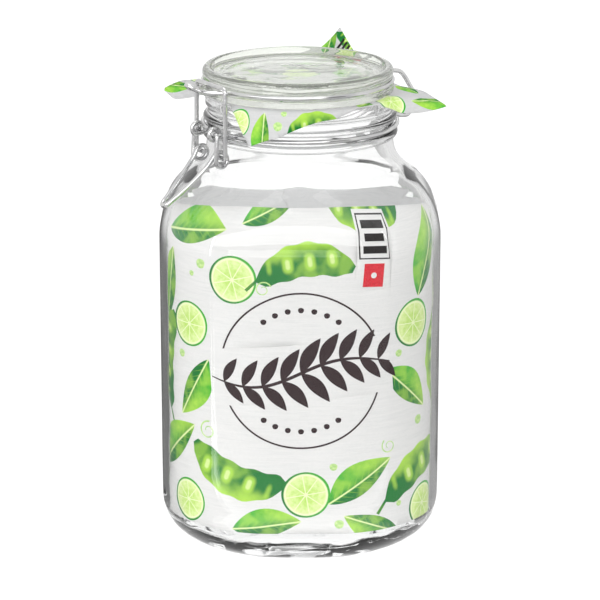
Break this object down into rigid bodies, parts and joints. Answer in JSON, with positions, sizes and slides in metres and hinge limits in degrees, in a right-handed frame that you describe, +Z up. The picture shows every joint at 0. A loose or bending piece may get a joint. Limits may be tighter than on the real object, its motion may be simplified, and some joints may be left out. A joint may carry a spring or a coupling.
{
  "type": "clip top jar",
  "caption": "Square glass storage jar with a round neck, a glass lid on a wire hinge and a wire clip lever, lined with printed paper.",
  "frame": {"origin": "centre of the flat base, on the surface that the jar stands on", "axes": "+Z up, the pictured front faces -Y, +X to the right of it; the clip's latch is at the front left and its hinge at the back right"},
  "size_m": [0.1472, 0.1446, 0.2588],
  "materials": {
    "clear_glass": "clear moulded glass, polished",
    "steel_wire": "bright drawn wire",
    "lining_paper": "matt printed paper",
    "cover_paper": "matt printed paper"
  },
  "bodies": {
    "jar": {"jar_body": "clear_glass", "paper_sleeve": "lining_paper", "collar_wire": "steel_wire"},
    "lid": {"lid_glass": "clear_glass", "lid_wire": "steel_wire", "paper_sheet": "cover_paper"},
    "lever": {"lever": "steel_wire"},
    "bail": {"bail": "steel_wire"}
  },
  "joints": [
    {"name": "lid_hinge", "type": "hinge", "parent": "jar", "child": "lid", "pos_m": [0.05158, 0.0335, 0.2192], "axis": [-0.5446, 0.8387, 0], "range_deg": [0, 180]},
    {"name": "lever_hinge", "type": "hinge", "parent": "jar", "child": "lever", "pos_m": [-0.04747, -0.03083, 0.2208], "axis": [-0.5446, 0.8387, 0], "range_deg": [0, 100]},
    {"name": "bail_hinge", "type": "hinge", "parent": "lever", "child": "bail", "pos_m": [-0.04512, -0.0293, 0.2086], "axis": [-0.5446, 0.8387, 0], "range_deg": [-100, 0]}
  ],
  "couplings": [
    {"joint": "bail_hinge", "follows": "lever_hinge", "ratio": -1}
  ]
}
